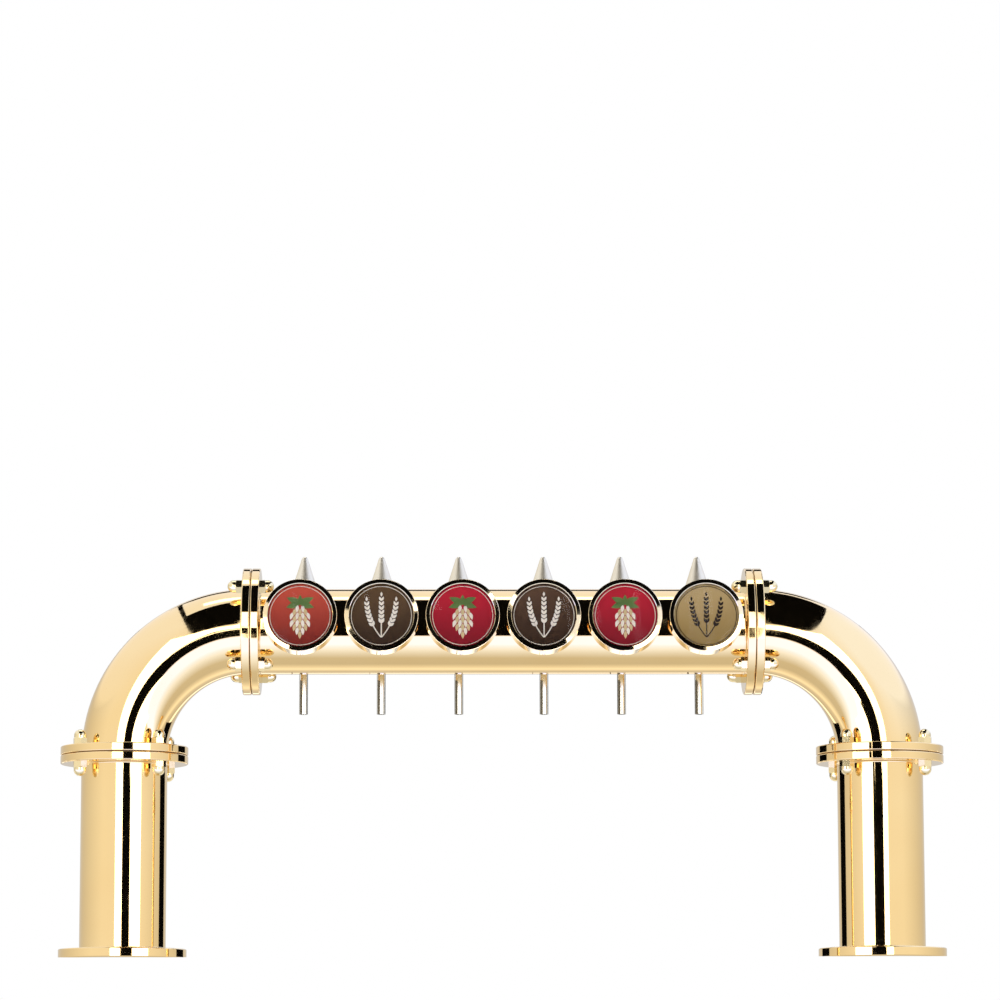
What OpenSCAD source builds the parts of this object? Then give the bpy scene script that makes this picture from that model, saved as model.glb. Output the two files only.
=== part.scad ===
// Bridge beer tower: two flanged legs and two elbows carry a horizontal bar, with six
// taps behind it and six round medallions in front. +X runs along the bar, -Y faces the
// guest, +Z is up, and the origin lies on the counter midway between the legs.

/* [Tubes] */
// Outside diameter of the leg, elbow and bar tubes
tube_d = 88.9; // [80:0.1:96]
// Wall of the leg, elbow and bar tubes
tube_wall = 2; // [1.5:0.1:3]
// Height of the joint plane at the top of each leg
leg_joint_h = 209.5; // [150:0.5:320]
// Centre-line radius of each elbow
bend_r = 128; // [115:0.5:150]
// Straight stretch of an elbow at the leg
elbow_straight = 1; // [0.5:0.5:10]
// Straight stretch of an elbow at the bar
elbow_lead = 3; // [0.5:0.5:10]

/* [Flanges] */
// Radial width of the flange rings, outside the tube
flange_w = 21.5; // [20.5:0.1:28]
// Thickness of the rings that are bolted together
flange_t = 8.7; // [7:0.1:12]
// Thickness of the rings that stand on the counter
base_t = 10; // [7:0.5:14]
// Rounding of the flange edges
flange_round = 1.2; // [0.3:0.1:3]
// Distance from the tube's surface to the bolt circle
bolt_offset = 13; // [10.5:0.1:14]
// Turn of the bolts from the plane of the elbow, degrees
bolt_turn = 42; // [20:1:60]
// Diameter of the flange studs
stud_d = 8; // [6:0.5:9]
// Size of the dome nuts across their flats
nut_af = 13; // [12.5:0.1:14]
// Height of the hexagon of a dome nut
nut_hex_h = 6.5; // [5:0.5:8]
// Step from the hexagon's flats to the dome
nut_step = 0.2; // [0.1:0.1:0.6]
// Height of a dome nut with its dome
nut_h = 15; // [14.5:0.5:18]
// Thickness of the flange gaskets
gasket_t = 0.6; // [0.5:0.1:3]
// Setback of a gasket's edge from the flange rim
gasket_setback = 1.5; // [0.5:0.1:4]
// Distance from the tube's surface to the circle of the fixing holes
fixing_offset = 11.5; // [10.5:0.1:12]
// Diameter of the fixing holes in the base flanges
fixing_hole_d = 9; // [6:0.5:10]
// Depth of the countersinks of the fixing holes
fixing_sink = 4; // [1:0.5:5]
// Turn of the fixing holes from the bar's direction, degrees
fixing_turn = 45; // [30:1:60]

/* [Medallions] */
// Outside diameter of a medallion
medallion_d = 76; // [70:0.5:90]
// Space between two medallions
medallion_gap = 7.4; // [3:0.1:20]
// Space between the last medallion and the flange beside it
end_gap = 5; // [3:0.1:40]
// Upward tilt of the medallions, degrees
medallion_tilt = 7; // [0:1:15]
// Length of the boss between the bar and a medallion
medallion_standoff = 3.5; // [3.5:0.5:20]
// Diameter of that boss
medallion_boss_d = 30; // [16:1:40]
// Depth of the medallion cup
cup_depth = 24; // [21:0.5:30]
// Wall of the medallion cup
cup_wall = 1.5; // [1:0.1:3]
// Rounding of the back edge of the cup
cup_round = 4; // [1:0.5:5]
// Thickness of the cup's bottom
cup_bottom = 2; // [1:0.1:4]
// Width of the ledge in the cup that the plate lies on
cup_ledge = 2; // [1:0.1:4]
// Thickness of the bezel's sleeve round the cup
bezel_wall = 1.4; // [0.8:0.1:3]
// Width of the bezel's front
bezel_w = 4.8; // [4:0.1:8]
// Thickness of the bezel's front
bezel_t = 2.2; // [1.8:0.1:4]
// Rounding of the bezel's outer edge
bezel_round = 0.5; // [0.3:0.1:1.6]
// Fall of the bezel's front towards its outer edge
bezel_fall = 0.4; // [0.2:0.1:0.6]
// Break of the bezel's inner edge
bezel_break = 0.6; // [0.2:0.1:1]
// Length of the bezel's sleeve
bezel_sleeve = 16; // [3:0.5:19]
// Thickness of a medallion plate
plate_t = 1; // [0.5:0.1:2]
// Thickness of a lens at its edge
lens_t = 2.5; // [2:0.1:3]
// Rise of the lens in its middle
lens_rise = 1.8; // [1.6:0.1:2]
// Height of the lens's straight edge below its dome
lens_step = 0.2; // [0.1:0.05:0.3]
// Width of the rim that a lens rests on
lens_rim = 2.5; // [1.5:0.1:4]
// Height of the space between a plate and its lens
lens_gap = 0.6; // [0.3:0.1:0.8]

/* [Tap bodies] */
// Spacing of the taps on each side of the middle
tap_pitch = 82; // [60:0.5:88]
// Spacing of the two taps beside the middle
tap_middle = 90; // [60:0.5:100]
// Diameter of the shank
shank_d = 22; // [20:0.5:24]
// Length of the boss on the bar round a shank
tap_boss_h = 4; // [3:0.5:12]
// Radial width of that boss
tap_boss_w = 6; // [3:0.5:9]
// Length of the shank outside its boss
shank_out = 10; // [9.5:0.5:16]
// Diameter of the shank's tail inside the bar
shank_tail_d = 13; // [11:0.5:16]
// Depth of the shank and its tail inside the bar, from the bar's surface
shank_depth = 22.5; // [20:0.5:26]
// Length of the tail
shank_tail = 10; // [9:0.5:13]
// Depth of the socket in the tail that holds the beer line
socket_depth = 8; // [5:0.5:10]
// Depth of the valve chamber in the end of the shank
valve_depth = 12; // [11:0.5:13]
// Diameter of the valve chamber
valve_d = 15; // [14:0.5:17]
// Thickness of the seat washer
washer_t = 1; // [0.5:0.1:2]
// Hole in the seat washer
washer_hole_d = 9; // [8:0.5:10]
// Size of the coupling nut across its flats
coupling_af = 30; // [28:0.5:34]
// Stretch of the shank that the coupling nut covers
coupling_grip = 8; // [5:0.5:9]
// Thickness of the coupling nut's lip behind the collar
coupling_lip = 2.5; // [1.5:0.1:4]
// Thickness of the collar at the front of a tap body
collar_t = 2.5; // [1.5:0.1:4]
// Diameter of the neck behind the collar
neck_d = 17; // [16:0.5:18]
// Diameter of the barrel
barrel_d = 24; // [23:0.5:28]
// Break of the barrel's front edge
barrel_edge = 1; // [0.2:0.1:2]
// Rounding of the barrel's end
barrel_round = 5; // [2:0.5:6]
// Wall at the barrel's end, behind the piston
barrel_wall = 2.5; // [1.5:0.1:4]
// Diameter of the beer way through the neck
chamber_d = 13; // [12.5:0.5:14]
// Diameter of the boss that holds a spout
spout_boss_d = 14; // [13:0.5:18]
// Length of that boss below the barrel's axis
spout_boss_h = 20; // [16:0.5:26]
// Diameter of the outlet above a spout
outlet_d = 6.4; // [5:0.1:6.5]
// Outside diameter of a spout
spout_d = 9.2; // [9:0.1:10]
// Wall of a spout
spout_wall = 1; // [0.7:0.1:1.5]
// Distance of a spout's mouth below the bar's axis
spout_drop = 79.5; // [60:0.5:110]
// Length of a spout inside its boss
spout_seat = 9; // [5:0.5:12]

/* [Levers] */
// Diameter of the lever pins
pin_d = 5; // [4:0.1:6]
// Thickness of a pin's head
pin_head_t = 1.2; // [0.8:0.1:2]
// Width of a pin's head round the pin
pin_head_w = 1; // [0.8:0.1:1.5]
// Height of the lever pins above the barrel's axis
arm = 10; // [9.5:0.1:11]
// Pull of a lever from shut to open, degrees
pull = 40; // [20:1:45]
// Radius of a lever's hub
hub_r = 6; // [5.5:0.1:6.5]
// Width of a lever's hub
hub_w = 10; // [9:0.1:11]
// Radius of the ears round the pin
ear_r = 7; // [6:0.5:8]
// Length of the lever's slot behind the pin
slot_rear = 8; // [7.5:0.1:8.5]
// Width of the finger that moves the plunger
finger_w = 4.8; // [4:0.1:5.5]
// Thickness of the finger
finger_t = 2.6; // [2:0.1:2.8]
// Radius of the finger's tip
tip_r = 2; // [1.7:0.1:2.1]
// Diameter of a lever's stem
stem_d = 8; // [6:0.5:9]
// Length of the stem from the pin to the handle
stem_free = 22; // [18:0.5:40]
// Length of the stem inside the handle
stem_grip = 26; // [12:0.5:32]
// Thickness of the stem's collar under the handle
stem_collar_t = 3; // [2:0.5:6]
// Width of that collar round the stem
stem_collar_w = 3; // [1:0.1:4]
// Length of a handle
handle_h = 59; // [48:0.5:90]
// Largest diameter of a handle
handle_d = 26; // [20:0.5:30]
// Radius of a handle's tip
handle_tip_r = 3.4; // [2:0.1:4]
// Diameter of a handle's foot
handle_foot_d = 14; // [13:0.5:18]
// Rounding of a handle's foot
handle_foot_r = 3; // [1:0.1:4]
// Height of a handle's belly above its foot
handle_belly_h = 25; // [20:0.5:30]
// Rounding of a handle's belly
handle_belly_r = 6; // [4:0.5:9]

/* [Plungers] */
// Diameter of the piston
piston_d = 10; // [9.5:0.1:11]
// Length of the piston in front of the finger's notch
piston_land = 10; // [9:0.5:14]
// Diameter of the valve stem
valve_stem_d = 5; // [3:0.5:6]
// Diameter of the valve head
valve_head_d = 12; // [11:0.5:13]
// Thickness of the valve head
valve_head_t = 3.5; // [2:0.1:4]

/* [Lines] */
// Diameter of the beer lines
line_d = 8; // [6:0.1:9]
// Wall of the beer lines and the coolant pipe
line_wall = 0.5; // [0.3:0.1:1]
// Straight stretch of the nearest beer line between its shank and its bend
line_lead = 2; // [1:0.5:4]
// Bend radius of a beer line behind its shank, and the spacing of the lines
line_bend = 14; // [12:0.5:15]
// Diameter of the coolant pipe
coolant_d = 10; // [6:0.1:12]
// Distance of the coolant pipe from the tube's axis, towards the inside of the bend
coolant_in = 22; // [18:0.5:26]
// Height of the ends of the lines and the pipe above the counter
line_end_h = 30; // [20:1:60]
// Height of the spacers that hold the lines in the legs
spacer_h = 70; // [50:1:120]
// Thickness of the spacers
spacer_t = 6; // [3:0.5:12]

/* [Clearances] */
// Gap of a welded, brazed or screwed fit, on the radius
fit_gap = 0.1; // [0.05:0.01:0.2]
// Gap of a stud in its flange hole, on the radius
bolt_gap = 0.5; // [0.2:0.1:0.8]
// Gap of a pin or piston that turns or slides, on the radius
run_gap = 0.05; // [0.02:0.01:0.1]
// Gap between moving faces that don't touch
free_gap = 0.3; // [0.2:0.05:0.4]
// Gap on each side of the finger's tip in the plunger's notch
notch_gap = 0.5; // [0.4:0.05:0.6]

/* [Hidden] */
$fn = 96;

gold = "#E2B65F";
steel = "#C9CCCF";
rubber = "#1E1E20";
plate_colours = ["#C8402A", "#3D3420", "#B01E2C", "#3A2A1C", "#AE2030", "#A88C4C"];
TAPS = [1:6];
tap_count = 6;
side_taps = tap_count / 2;
// Overshoot of a cut past the face it leaves
cut = 1;

// Frame of the tower
tube_r = tube_d / 2;
bore_r = tube_r - tube_wall;
flange_r = tube_r + flange_w;
bolt_r = tube_r + bolt_offset;
fixing_r = tube_r + fixing_offset;
bend_start_h = leg_joint_h + gasket_t / 2 + elbow_straight;
bar_h = bend_start_h + bend_r;
medallion_r = medallion_d / 2;
medallion_pitch = medallion_d + medallion_gap;
bar_joint_x = (tap_count - 1) / 2 * medallion_pitch + medallion_r + end_gap + flange_t + gasket_t / 2;
bend_start_x = bar_joint_x + gasket_t / 2 + elbow_lead;
leg_x = bend_start_x + bend_r;

// Medallion, by distance from the bar's axis
cup_back = tube_r + medallion_standoff;
cup_front = cup_back + cup_depth;
cup_r = medallion_r - bezel_wall - fit_gap;
plate_r = cup_r - cup_wall - fit_gap;
bezel_in_r = medallion_r - bezel_w;
lens_seat = cup_front - lens_t;
plate_seat = lens_seat - plate_t;

// Tap, by distance from the bar's axis
shank_r = shank_d / 2;
boss_face = tube_r + tap_boss_h;
shank_end = boss_face + shank_out;
shank_in = tube_r - shank_depth;
tail_end = shank_in + shank_tail;
socket_end = shank_in + socket_depth;
collar_front = shank_end + washer_t;
collar_back = collar_front + collar_t;
nut_front = shank_end - coupling_grip;
nut_back = collar_back + coupling_lip;
barrel_front = nut_back + free_gap;
barrel_r = barrel_d / 2;
spout_y = barrel_front + spout_boss_d / 2;
spout_r = spout_d / 2;
spout_bore_r = spout_r - spout_wall;
spout_top = spout_boss_h - spout_seat;
chamber_back = spout_y + spout_boss_d / 2;
guide_r = piston_d / 2 + run_gap;

// Lever and plunger
stroke = arm * sin(pull);
pin_r = pin_d / 2;
notch_half = tip_r + notch_gap;
pivot_y = chamber_back + free_gap + piston_land + notch_half;
piston_end = pivot_y + notch_half + stem_d / 2;
guide_end = piston_end + free_gap;
barrel_end = guide_end + barrel_wall;
slot_w = hub_w + 2 * free_gap;
// The slot reaches past the finger's tip when the lever is pulled
slot_front = stroke + tip_r + 2 * free_gap;
slot_floor = arm - hub_r - free_gap;
// The piston is flat under the hub, so that the hub and the leaning finger clear it
piston_flat = arm * (1 - cos(pull)) + free_gap;
notch_floor = tip_r + notch_gap;
stem_r = stem_d / 2;
stem_top = stem_free + stem_grip;
stem_collar_r = stem_r + stem_collar_w;
pin_head_r = pin_r + pin_head_w;
// The ears reach far enough out for the pin heads to clear the barrel
ear_x = sqrt(barrel_r ^ 2 - (arm - pin_head_r) ^ 2) + fit_gap;

// Lines
line_r = line_d / 2;
coolant_r = coolant_d / 2;

function from_middle(n) = n - (tap_count + 1) / 2;
function medallion_x(n) = from_middle(n) * medallion_pitch;
function tap_x(n) = from_middle(n) * tap_pitch + sign(from_middle(n)) * (tap_middle - tap_pitch) / 2;
function line_y(k) = shank_in - line_lead - line_bend * (k + 1);
// Direction, as an angle, square to the line that touches two circles on the right of the way from p to q
function touch_angle(p, p_r, q, q_r) =
    atan2(q.y - p.y, q.x - p.x) - acos((p_r - q_r) / norm(q - p));

module ring(r_out, r_in, h) {
    difference() {
        cylinder(r = r_out, h = h);
        translate([0, 0, -cut]) cylinder(r = r_in, h = h + 2 * cut);
    }
}

module mirrored() {
    children();
    mirror([1, 0, 0]) children();
}

// Frame of the joint on top of the left leg: +Z along the way up, +X to the inside of the bend
module lower_joint() {
    translate([-leg_x, 0, leg_joint_h]) children();
}

// Frame of the joint at the left end of the bar, turned with the elbow
module upper_joint() {
    translate([-bar_joint_x, 0, bar_h]) rotate([0, 90, 0]) children();
}

module four_round(r, turn) {
    for (k = [0:3]) rotate(turn + 90 * k) translate([r, 0, 0]) children();
}

module flange_blank(t) {
    hole_r = tube_r + fit_gap;
    rotate_extrude() {
        translate([hole_r, 0]) square([flange_r - flange_round - hole_r, t]);
        translate([hole_r, flange_round]) square([flange_r - hole_r, t - 2 * flange_round]);
        for (y = [flange_round, t - flange_round])
            translate([flange_r - flange_round, y]) circle(r = flange_round);
    }
}

// Ring that stands on its mating face, one half gasket above the joint plane
module joint_flange() {
    translate([0, 0, gasket_t / 2]) difference() {
        flange_blank(flange_t);
        four_round(bolt_r, bolt_turn) translate([0, 0, -cut])
            cylinder(r = stud_d / 2 + bolt_gap, h = flange_t + 2 * cut);
    }
}

// Quarter bend from the leg's axis at the origin to the bar's axis, set in by an offset
module quarter_bend(inset) {
    translate([bend_r, 0, 0]) rotate([90, 0, 0]) rotate([0, 0, 90])
        rotate_extrude(angle = 90) translate([bend_r - inset, 0]) children();
}

// Elbow's path from a joint's frame, filled to a radius: a straight stretch and the bend
module elbow_fill(r, straight) {
    translate([0, 0, gasket_t / 2]) cylinder(r = r, h = straight);
    translate([0, 0, gasket_t / 2 + straight]) quarter_bend(0) circle(r = r);
}

// Ring round the elbow's end, bored to suit the start of the bend
module elbow_end_flange(straight) {
    difference() {
        joint_flange();
        elbow_fill(tube_r + fit_gap, straight);
    }
}

module base_flange_shape() {
    difference() {
        flange_blank(base_t);
        four_round(fixing_r, fixing_turn) {
            translate([0, 0, -cut]) cylinder(d = fixing_hole_d, h = base_t + 2 * cut);
            translate([0, 0, base_t - fixing_sink])
                cylinder(r1 = fixing_hole_d / 2, r2 = fixing_hole_d / 2 + fixing_sink, h = fixing_sink);
        }
    }
}

module left_base_flange() {
    color(gold) translate([-leg_x, 0, 0]) base_flange_shape();
}

module left_leg_tube() {
    color(gold) translate([-leg_x, 0, 0]) ring(tube_r, bore_r, leg_joint_h - gasket_t / 2);
}

module left_leg_flange() {
    color(gold) lower_joint() mirror([0, 0, 1]) joint_flange();
}

module left_elbow_lower_flange() {
    color(gold) lower_joint() elbow_end_flange(elbow_straight);
}

module left_elbow() {
    color(gold) lower_joint() {
        translate([0, 0, gasket_t / 2]) {
            ring(tube_r, bore_r, elbow_straight);
            translate([0, 0, elbow_straight]) {
                quarter_bend(0) difference() {
                    circle(r = tube_r);
                    circle(r = bore_r);
                }
                translate([bend_r, 0, bend_r]) rotate([0, 90, 0]) ring(tube_r, bore_r, elbow_lead);
            }
        }
    }
}

module left_elbow_upper_flange() {
    color(gold) upper_joint() mirror([0, 0, 1]) elbow_end_flange(elbow_lead);
}

module left_bar_flange() {
    color(gold) upper_joint() joint_flange();
}

module bar_tube() {
    half = bar_joint_x - gasket_t / 2;
    color(gold) translate([0, 0, bar_h]) difference() {
        translate([-half, 0, 0]) rotate([0, 90, 0]) ring(tube_r, bore_r, 2 * half);
        for (n = TAPS) translate([tap_x(n), 0, 0]) along_y(0) cylinder(r = shank_r + fit_gap, h = tube_d);
    }
}

module gasket_shape() {
    translate([0, 0, -gasket_t / 2]) difference() {
        ring(flange_r - gasket_setback, bore_r, gasket_t);
        four_round(bolt_r, bolt_turn) translate([0, 0, -cut])
            cylinder(r = stud_d / 2 + bolt_gap, h = gasket_t + 2 * cut);
    }
}

module flange_gaskets() {
    color(rubber) mirrored() {
        lower_joint() gasket_shape();
        upper_joint() gasket_shape();
    }
}

// Half of a stud reaches through one ring and most of the way into its nut
module stud_shape() {
    half = gasket_t / 2 + flange_t + nut_hex_h;
    translate([0, 0, -half]) cylinder(d = stud_d, h = 2 * half);
}

module flange_studs() {
    color(gold) mirrored() {
        lower_joint() four_round(bolt_r, bolt_turn) stud_shape();
        upper_joint() four_round(bolt_r, bolt_turn) stud_shape();
    }
}

// Dome nut that stands on the back of a ring, over the end of its stud
module dome_nut_shape() {
    dome_r = nut_af / 2 - nut_step;
    dome_centre = nut_h - dome_r;
    translate([0, 0, gasket_t / 2 + flange_t]) difference() {
        union() {
            intersection() {
                cylinder(d = nut_af / cos(30), h = nut_hex_h, $fn = 6);
                cylinder(r1 = nut_af / 2 + nut_hex_h, r2 = nut_af / 2, h = nut_hex_h);
            }
            cylinder(r = dome_r, h = dome_centre);
            translate([0, 0, dome_centre]) sphere(r = dome_r);
        }
        translate([0, 0, -cut]) cylinder(r = stud_d / 2 + fit_gap, h = nut_hex_h + fit_gap + cut);
    }
}

module joint_nuts() {
    four_round(bolt_r, bolt_turn) {
        dome_nut_shape();
        mirror([0, 0, 1]) dome_nut_shape();
    }
}

module dome_nuts() {
    color(gold) mirrored() {
        lower_joint() joint_nuts();
        upper_joint() joint_nuts();
    }
}

// Frame of a tap: on the bar's axis, +Y out of the back of the bar
module at_tap(n) {
    translate([tap_x(n), 0, bar_h]) children();
}

module along_y(y) {
    translate([0, y, 0]) rotate([-90, 0, 0]) children();
}

// Cylinder across the tap, on the lever's axis
module across(r, w) {
    translate([0, pivot_y, arm]) rotate([0, 90, 0]) cylinder(r = r, h = w, center = true);
}

module bar_outside() {
    rotate([0, 90, 0]) cylinder(r = tube_r + fit_gap, h = 2 * medallion_d, center = true);
}

module tap_bosses() {
    color(gold) for (n = TAPS) at_tap(n) difference() {
        along_y(0) cylinder(r = shank_r + tap_boss_w, h = boss_face);
        bar_outside();
        along_y(-cut) cylinder(r = shank_r + fit_gap, h = boss_face + 2 * cut);
    }
}

module tap_shanks() {
    flow_r = line_r - line_wall;
    socket_r = line_r + fit_gap;
    valve_start = shank_end - valve_depth;
    color(steel) for (n = TAPS) at_tap(n) along_y(0) rotate_extrude() polygon([
        [socket_r, shank_in], [shank_tail_d / 2, shank_in], [shank_tail_d / 2, tail_end],
        [shank_r, tail_end], [shank_r, shank_end], [valve_d / 2, shank_end],
        [valve_d / 2, valve_start], [flow_r, valve_start], [flow_r, socket_end],
        [socket_r, socket_end]]);
}

module seat_washers() {
    color(rubber) for (n = TAPS) at_tap(n) along_y(shank_end)
        ring(shank_r - free_gap, washer_hole_d / 2, washer_t);
}

module coupling_nuts() {
    nut_l = nut_back - nut_front;
    face_r = coupling_af / 2;
    color(gold) for (n = TAPS) at_tap(n) along_y(nut_front) difference() {
        intersection() {
            cylinder(d = coupling_af / cos(30), h = nut_l, $fn = 6);
            cylinder(r1 = face_r, r2 = face_r + nut_l, h = nut_l);
            cylinder(r1 = face_r + nut_l, r2 = face_r, h = nut_l);
        }
        translate([0, 0, -cut]) cylinder(r = shank_r + fit_gap, h = collar_back - nut_front + cut);
        cylinder(r = neck_d / 2 + fit_gap, h = nut_l + cut);
    }
}

module barrel_outline() {
    polygon([
        [0, collar_front], [shank_r, collar_front], [shank_r, collar_back],
        [neck_d / 2, collar_back], [neck_d / 2, barrel_front], [barrel_r - barrel_edge, barrel_front],
        [barrel_r, barrel_front + barrel_edge], [barrel_r, barrel_end - barrel_round],
        [barrel_r - barrel_round, barrel_end], [0, barrel_end]]);
    translate([barrel_r - barrel_round, barrel_end - barrel_round]) circle(r = barrel_round);
}

module tap_body(n) {
    color(gold) at_tap(n) difference() {
        union() {
            along_y(0) rotate_extrude() barrel_outline();
            translate([0, spout_y, -spout_boss_h]) cylinder(d = spout_boss_d, h = spout_boss_h);
            across(ear_r, 2 * ear_x);
            translate([-ear_x, pivot_y - ear_r, 0]) cube([2 * ear_x, 2 * ear_r, arm]);
        }
        along_y(collar_front - cut) cylinder(d = chamber_d, h = chamber_back - collar_front + cut);
        along_y(collar_front) cylinder(r = guide_r, h = guide_end - collar_front);
        translate([-slot_w / 2, pivot_y - slot_front, slot_floor])
            cube([slot_w, slot_front + slot_rear, arm + barrel_d]);
        across(pin_r + fit_gap / 2, 2 * ear_x + 2 * cut);
        translate([0, spout_y, -spout_boss_h - cut])
            cylinder(r = spout_r + fit_gap, h = spout_seat + cut);
        translate([0, spout_y, -spout_boss_h]) cylinder(d = outlet_d, h = spout_boss_h);
    }
}

module lever_pins() {
    color(steel) for (n = TAPS) at_tap(n) mirror([n > side_taps ? 0 : 1, 0, 0]) {
        across(pin_r, 2 * ear_x);
        translate([ear_x, pivot_y, arm]) rotate([0, 90, 0]) cylinder(r = pin_head_r, h = pin_head_t);
    }
}

module lever(n) {
    color(gold) at_tap(n) difference() {
        union() {
            across(hub_r, hub_w);
            translate([0, pivot_y, arm]) {
                cylinder(r = stem_r, h = stem_top);
                translate([0, 0, stem_free - stem_collar_t])
                    cylinder(r1 = stem_r, r2 = stem_collar_r, h = stem_collar_t);
                translate([-finger_w / 2, -finger_t / 2, -arm]) cube([finger_w, finger_t, arm]);
                translate([0, 0, -arm]) rotate([0, 90, 0]) cylinder(r = tip_r, h = finger_w, center = true);
            }
        }
        across(pin_r + run_gap, hub_w + 2 * cut);
    }
}

// Two circles and the straight flank that touches both
module flank(p, p_r, q, q_r) {
    a = touch_angle(p, p_r, q, q_r);
    square_to = [cos(a), sin(a)];
    polygon([p, p + p_r * square_to, q + q_r * square_to, q]);
    translate(p) circle(r = p_r);
    translate(q) circle(r = q_r);
}

// Half of a handle's section: pointed tip, round belly, slender foot
module handle_outline() {
    belly = [handle_d / 2 - handle_belly_r, handle_belly_h];
    tip = [0, handle_h - handle_tip_r];
    foot = [handle_foot_d / 2 - handle_foot_r, handle_foot_r];
    intersection() {
        union() {
            flank(belly, handle_belly_r, tip, handle_tip_r);
            flank(foot, handle_foot_r, belly, handle_belly_r);
            polygon([[0, 0], [foot.x, 0], foot, belly, tip]);
        }
        square([handle_d, handle_h]);
    }
}

module handle(n) {
    color(steel) at_tap(n) translate([0, pivot_y, arm + stem_free]) difference() {
        rotate_extrude() handle_outline();
        translate([0, 0, -cut]) cylinder(r = stem_r + fit_gap, h = stem_grip + fit_gap + cut);
    }
}

module plunger(n) {
    head_back = shank_end - free_gap;
    head_front = head_back - valve_head_t;
    piston_front = chamber_back + free_gap;
    color(steel) at_tap(n) difference() {
        along_y(0) rotate_extrude() polygon([
            [0, head_front], [valve_head_d / 2, head_front], [valve_head_d / 2, head_back],
            [valve_stem_d / 2, head_back], [valve_stem_d / 2, piston_front], [piston_d / 2, piston_front],
            [piston_d / 2, piston_end], [0, piston_end]]);
        translate([-piston_d, pivot_y - notch_half, -notch_floor])
            cube([2 * piston_d, 2 * notch_half, piston_d]);
        translate([-piston_d, pivot_y - hub_r, piston_flat])
            cube([2 * piston_d, piston_end, piston_d]);
    }
}

module spouts() {
    color(steel) for (n = TAPS) at_tap(n) translate([0, spout_y, -spout_drop])
        ring(spout_r, spout_bore_r, spout_drop - spout_top - fit_gap);
}

// Frame of a medallion: on the bar's axis, +Z out of the front and a little up
module at_medallion(n) {
    translate([medallion_x(n), 0, bar_h]) rotate([90 - medallion_tilt, 0, 0]) children();
}

module cup_outline() {
    difference() {
        union() {
            translate([0, cup_back]) square([cup_r - cup_round, cup_depth]);
            translate([0, cup_back + cup_round]) square([cup_r, cup_depth - cup_round]);
            translate([cup_r - cup_round, cup_back + cup_round]) circle(r = cup_round);
        }
        translate([0, plate_seat]) square([cup_r - cup_wall, cup_depth]);
        translate([0, cup_back + cup_bottom]) square([cup_r - cup_wall - cup_ledge, cup_depth]);
    }
}

module medallion_cups() {
    color(gold) for (n = TAPS) at_medallion(n) {
        rotate_extrude() cup_outline();
        difference() {
            cylinder(d = medallion_boss_d, h = cup_back);
            bar_outside();
        }
    }
}

module medallion_bezels() {
    face = cup_front + bezel_t;
    edge = face - bezel_fall;
    round_r = medallion_r - bezel_round;
    color(gold) for (n = TAPS) at_medallion(n) rotate_extrude() {
        polygon([
            [medallion_r - bezel_wall, cup_front - bezel_sleeve], [medallion_r, cup_front - bezel_sleeve],
            [medallion_r, edge - bezel_round], [round_r, edge], [bezel_in_r + bezel_break, face],
            [bezel_in_r, face - bezel_break], [bezel_in_r, cup_front],
            [medallion_r - bezel_wall, cup_front]]);
        translate([round_r, edge - bezel_round]) intersection() {
            circle(r = bezel_round);
            square(2 * bezel_round);
        }
    }
}

module medallion_plate(n) {
    color(plate_colours[n - 1]) at_medallion(n) translate([0, 0, plate_seat])
        cylinder(r = plate_r, h = plate_t);
}

module lens_outline() {
    dome_edge_r = bezel_in_r - fit_gap;
    sag = lens_rise - lens_step;
    dome_r = (dome_edge_r ^ 2 + sag ^ 2) / (2 * sag);
    square([plate_r, lens_t]);
    intersection() {
        translate([0, lens_t + lens_rise - dome_r]) circle(r = dome_r, $fn = 24 * $fn);
        translate([0, lens_t / 2]) square([dome_edge_r, lens_t + lens_rise]);
    }
}

// Domed lens that rests on its rim, with a thin space over the plate
module medallion_lenses() {
    color("#FFFFFF", 0.3) for (n = TAPS) at_medallion(n) translate([0, 0, lens_seat]) difference() {
        rotate_extrude() lens_outline();
        translate([0, 0, -cut]) cylinder(r = plate_r - lens_rim, h = lens_gap + cut);
    }
}

// Way of the left side's beer line k, counted from the leg, filled to a radius: out of the shank,
// along the bar and down the leg, with both ends run on
module line_way(k, r, run_on) {
    x = tap_x(k + 1);
    y = line_y(k);
    turn_x = x - line_bend;
    turn_y = y + line_bend;
    leg_end = line_end_h - run_on;
    translate([0, 0, bar_h]) {
        translate([x, 0, 0]) along_y(turn_y) cylinder(r = r, h = socket_end - fit_gap - turn_y + run_on);
        translate([turn_x, turn_y, 0]) rotate([0, 0, -90])
            rotate_extrude(angle = 90) translate([line_bend, 0]) circle(r = r);
        translate([-bend_start_x, y, 0]) rotate([0, 90, 0]) cylinder(r = r, h = turn_x + bend_start_x);
    }
    translate([-leg_x, y, bend_start_h]) quarter_bend(0) circle(r = r);
    translate([-leg_x, y, leg_end]) cylinder(r = r, h = bend_start_h - leg_end);
}

module beer_lines() {
    color(steel) mirrored() for (k = [0:side_taps - 1]) difference() {
        line_way(k, line_r, 0);
        line_way(k, line_r - line_wall, cut);
    }
}

// Way of the coolant pipe, filled to a radius: up one leg, along the bar and down the other
module coolant_way(r, run_on) {
    leg_end = line_end_h - run_on;
    translate([-bend_start_x, 0, bar_h - coolant_in]) rotate([0, 90, 0])
        cylinder(r = r, h = 2 * bend_start_x);
    mirrored() {
        translate([-leg_x, 0, bend_start_h]) quarter_bend(coolant_in) circle(r = r);
        translate([coolant_in - leg_x, 0, leg_end]) cylinder(r = r, h = bend_start_h - leg_end);
    }
}

module coolant_pipe() {
    color(steel) difference() {
        coolant_way(coolant_r, 0);
        coolant_way(coolant_r - line_wall, cut);
    }
}

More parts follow.
